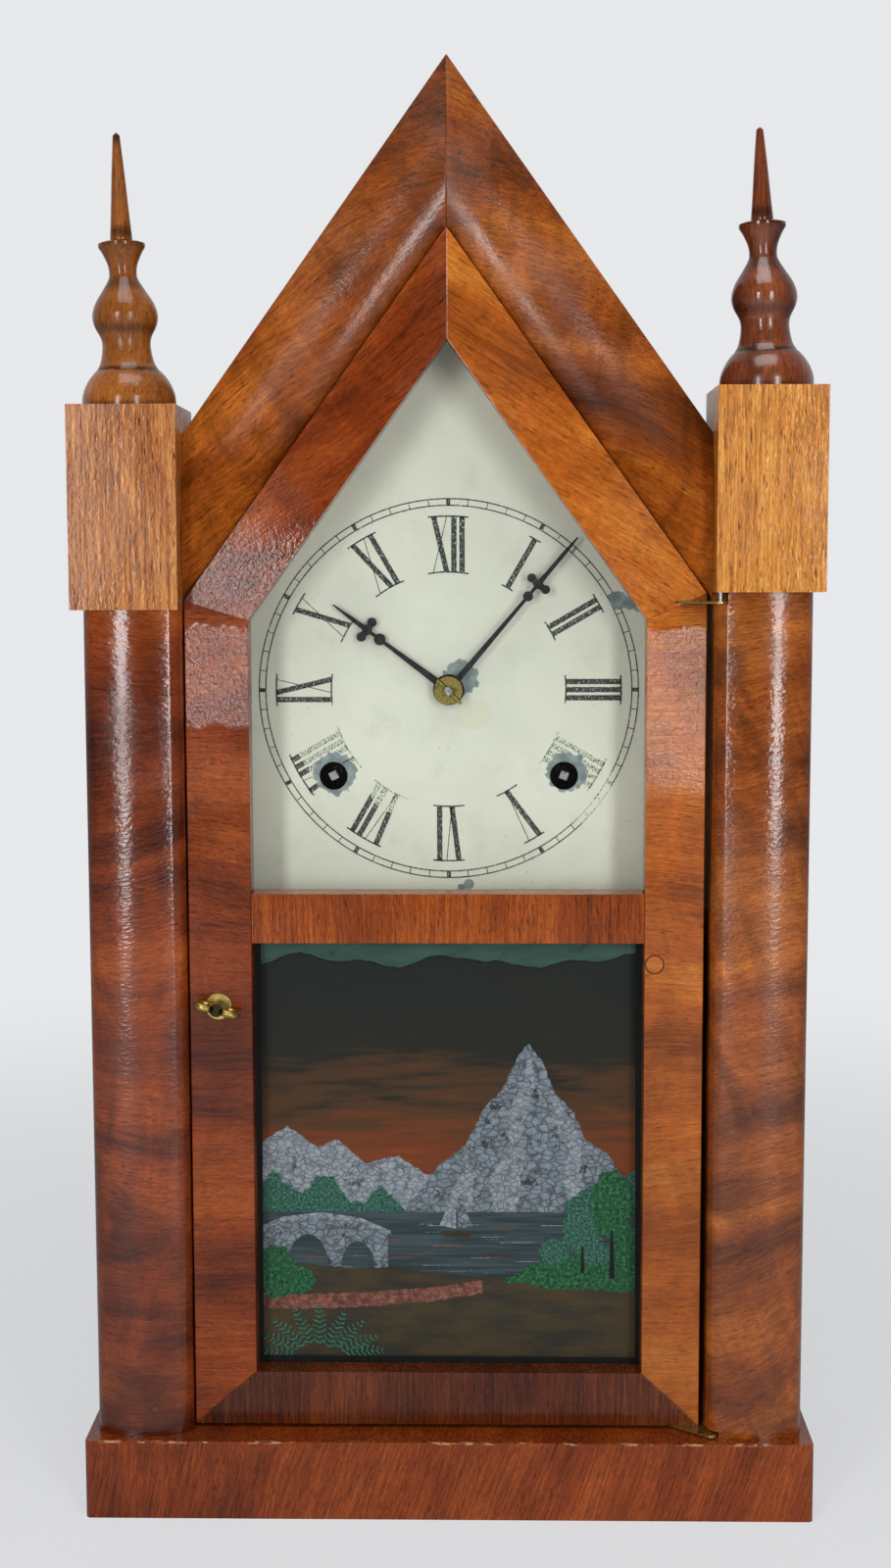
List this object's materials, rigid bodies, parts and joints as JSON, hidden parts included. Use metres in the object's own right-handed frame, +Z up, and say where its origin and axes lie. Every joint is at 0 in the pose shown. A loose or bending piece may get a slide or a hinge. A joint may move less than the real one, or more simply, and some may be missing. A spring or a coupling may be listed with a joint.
{
  "type": "steeple clock",
  "caption": "Peaked wooden shelf clock with half-round columns, turned finials, a glazed door, a dial with Roman numerals and a striking movement.",
  "frame": {"origin": "middle of the underside of the base", "axes": "+Z up, front faces -Y, +X to the right seen from the front"},
  "size_m": [0.257, 0.108, 0.508],
  "materials": {
    "case_veneer": "glossy shellac",
    "column_veneer": "glossy shellac",
    "block_veneer": "glossy shellac",
    "finial_wood": "glossy",
    "door_veneer": "glossy shellac",
    "pine": "aged",
    "clear_glass": "clear",
    "painted_glass": "reverse painted",
    "dial_paint": "satin",
    "blued_steel": "satin",
    "brass": "aged",
    "steel": "satin",
    "iron": "painted"
  },
  "bodies": {
    "case": {"base_front_rail": "case_veneer", "base_side_rails": "case_veneer", "bottom_board": "pine", "side_boards": "pine", "backboard": "pine", "roof_boards": "pine", "left_column": "column_veneer", "right_column": "column_veneer", "left_cap_block": "block_veneer", "right_cap_block": "block_veneer", "left_finial": "finial_wood", "right_finial": "finial_wood", "left_gable_moulding": "case_veneer", "right_gable_moulding": "case_veneer", "dial_cleats": "pine", "hinge_pins": "steel", "dial": "dial_paint", "front_plate": "brass", "back_plate": "brass", "plate_pillars": "brass", "movement_seat": "pine", "seat_screws": "steel", "mainsprings": "steel", "escape_cock": "brass", "gong_coil": "steel", "gong_stand": "iron"},
    "door": {"door_left_stile": "door_veneer", "door_right_stile": "door_veneer", "door_bottom_rail": "door_veneer", "door_middle_rail": "door_veneer", "door_left_gable_rail": "door_veneer", "door_right_gable_rail": "door_veneer", "upper_glass": "clear_glass", "tablet_glass": "painted_glass", "glass_slips": "pine", "hinge_plates": "brass", "latch_escutcheon": "brass"},
    "latch": {"door_latch": "brass"},
    "centre_arbor": {"centre_wheel": "brass", "minute_hand": "blued_steel", "hand_washer": "brass", "hand_pin": "brass"},
    "hour_pipe": {"hour_wheel": "brass", "hour_hand": "blued_steel"},
    "minute_work": {"minute_wheel": "brass"},
    "time_great": {"time_great_wheel": "brass"},
    "time_winder": {"time_winding_arbor": "steel"},
    "second_arbor": {"second_wheel": "brass"},
    "third_arbor": {"third_wheel": "brass"},
    "escape_arbor": {"escape_wheel": "brass"},
    "verge": {"verge": "steel"},
    "pendulum": {"pendulum_rod": "steel", "pendulum_bob": "brass", "rating_nut": "brass"},
    "strike_great": {"strike_great_wheel": "brass"},
    "strike_winder": {"strike_winding_arbor": "steel"},
    "pin_arbor": {"pin_wheel": "brass"},
    "warning_arbor": {"warning_wheel": "brass"},
    "fly_arbor": {"fly": "brass"},
    "hammer": {"hammer": "steel"}
  },
  "joints": [
    {"name": "door_hinge", "type": "hinge", "parent": "case", "child": "door", "pos_m": [0.093, -0.048, 0.17], "axis": [0, 0, 1], "range_deg": [0, 150]},
    {"name": "latch_turn", "type": "hinge", "parent": "door", "child": "latch", "pos_m": [-0.0806, -0.035, 0.182], "axis": [0, 1, 0], "range_deg": [0, 90]},
    {"name": "centre_turn", "type": "hinge", "parent": "case", "child": "centre_arbor", "pos_m": [0, 0.02, 0.2917], "axis": [0, 1, 0], "continuous": true},
    {"name": "hour_turn", "type": "hinge", "parent": "case", "child": "hour_pipe", "pos_m": [0, 0.02, 0.2917], "axis": [0, 1, 0], "continuous": true},
    {"name": "minute_wheel_turn", "type": "hinge", "parent": "case", "child": "minute_work", "pos_m": [0, 0.02, 0.3061], "axis": [0, 1, 0], "continuous": true},
    {"name": "time_great_turn", "type": "hinge", "parent": "case", "child": "time_great", "pos_m": [0.0415, 0.02, 0.2607], "axis": [0, 1, 0], "continuous": true},
    {"name": "second_turn", "type": "hinge", "parent": "case", "child": "second_arbor", "pos_m": [0.02517, 0.02, 0.29052], "axis": [0, 1, 0], "continuous": true},
    {"name": "third_turn", "type": "hinge", "parent": "case", "child": "third_arbor", "pos_m": [0.00634, 0.02, 0.26804], "axis": [0, 1, 0], "continuous": true},
    {"name": "escape_turn", "type": "hinge", "parent": "case", "child": "escape_arbor", "pos_m": [0, 0.02, 0.24603], "axis": [0, 1, 0], "continuous": true},
    {"name": "time_winding", "type": "hinge", "parent": "time_great", "child": "time_winder", "pos_m": [0.0415, 0.02, 0.2607], "axis": [0, 1, 0], "range_deg": [0, 5760]},
    {"name": "pendulum_swing", "type": "hinge", "parent": "case", "child": "pendulum", "pos_m": [0, 0.02, 0.26403], "axis": [0, 1, 0], "range_deg": [-4, 4]},
    {"name": "verge_rock", "type": "hinge", "parent": "case", "child": "verge", "pos_m": [0, 0.02, 0.26403], "axis": [0, 1, 0], "range_deg": [-4, 4]},
    {"name": "pin_wheel_turn", "type": "hinge", "parent": "case", "child": "pin_arbor", "pos_m": [-0.02517, 0.02, 0.29052], "axis": [0, 1, 0], "continuous": true},
    {"name": "strike_great_turn", "type": "hinge", "parent": "case", "child": "strike_great", "pos_m": [-0.0415, 0.02, 0.2607], "axis": [0, 1, 0], "continuous": true},
    {"name": "warning_turn", "type": "hinge", "parent": "case", "child": "warning_arbor", "pos_m": [-0.02517, 0.02, 0.31362], "axis": [0, 1, 0], "continuous": true},
    {"name": "fly_turn", "type": "hinge", "parent": "case", "child": "fly_arbor", "pos_m": [-0.00797, 0.02, 0.32023], "axis": [0, 1, 0], "continuous": true},
    {"name": "strike_winding", "type": "hinge", "parent": "strike_great", "child": "strike_winder", "pos_m": [-0.0415, 0.02, 0.2607], "axis": [0, 1, 0], "range_deg": [-5760, 0]},
    {"name": "hammer_swing", "type": "hinge", "parent": "case", "child": "hammer", "pos_m": [-0.062, 0.02, 0.2977], "axis": [0, 1, 0], "range_deg": [0, 10]}
  ],
  "couplings": [
    {"joint": "hour_turn", "follows": "centre_turn", "ratio": 0.083333},
    {"joint": "minute_wheel_turn", "follows": "centre_turn", "ratio": -0.33333},
    {"joint": "second_turn", "follows": "centre_turn", "ratio": -0.75},
    {"joint": "time_great_turn", "follows": "centre_turn", "ratio": 0.083333},
    {"joint": "third_turn", "follows": "centre_turn", "ratio": -10.286},
    {"joint": "escape_turn", "follows": "centre_turn", "ratio": 105.8},
    {"joint": "verge_rock", "follows": "pendulum_swing", "ratio": 1},
    {"joint": "strike_great_turn", "follows": "pin_wheel_turn", "ratio": -0.11111},
    {"joint": "warning_turn", "follows": "pin_wheel_turn", "ratio": -10},
    {"joint": "fly_turn", "follows": "pin_wheel_turn", "ratio": 85.714}
  ]
}
